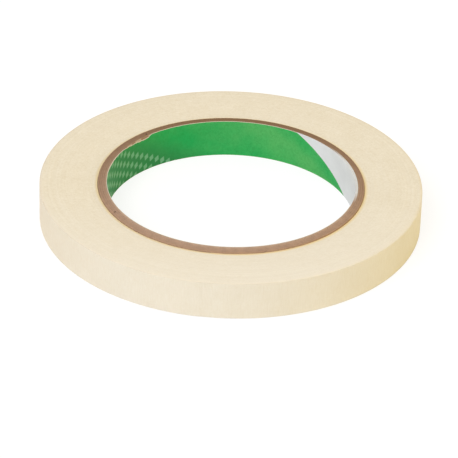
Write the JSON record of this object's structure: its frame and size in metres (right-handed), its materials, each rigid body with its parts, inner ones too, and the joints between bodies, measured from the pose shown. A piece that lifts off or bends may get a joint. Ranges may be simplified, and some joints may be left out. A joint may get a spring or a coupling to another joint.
{
  "type": "masking tape roll",
  "caption": "Flat roll of cream crepe paper masking tape wound on a spiral board core with a lined round bore; the loose end of the tape lifts off the roll.",
  "frame": {"origin": "on the axis of the bore, in the plane that the lower end of the core rests on", "axes": "+Z along the bore's axis, up when the roll lies flat; +X to the right and +Y to the back as the picture shows it"},
  "size_m": [0.1173, 0.1172, 0.0122],
  "materials": {
    "liner_print": "satin",
    "liner_paper": "matte",
    "core_board": "matte",
    "crepe_tape": "matte"
  },
  "bodies": {
    "roll": {"liner_printed": "liner_print", "liner_bare": "liner_paper", "core_ply_1": "core_board", "core_ply_2": "core_board", "core_ply_3": "core_board", "core_ply_4": "core_board", "tape_pack": "crepe_tape", "tape_last_turn": "crepe_tape"},
    "loose_end": {"tape_end": "crepe_tape"}
  },
  "joints": [
    {"name": "end_peel", "type": "hinge", "parent": "roll", "child": "loose_end", "pos_m": [-0.03109, -0.04979, 0.0061], "axis": [0, 0, -1], "range_deg": [0, 90]}
  ]
}
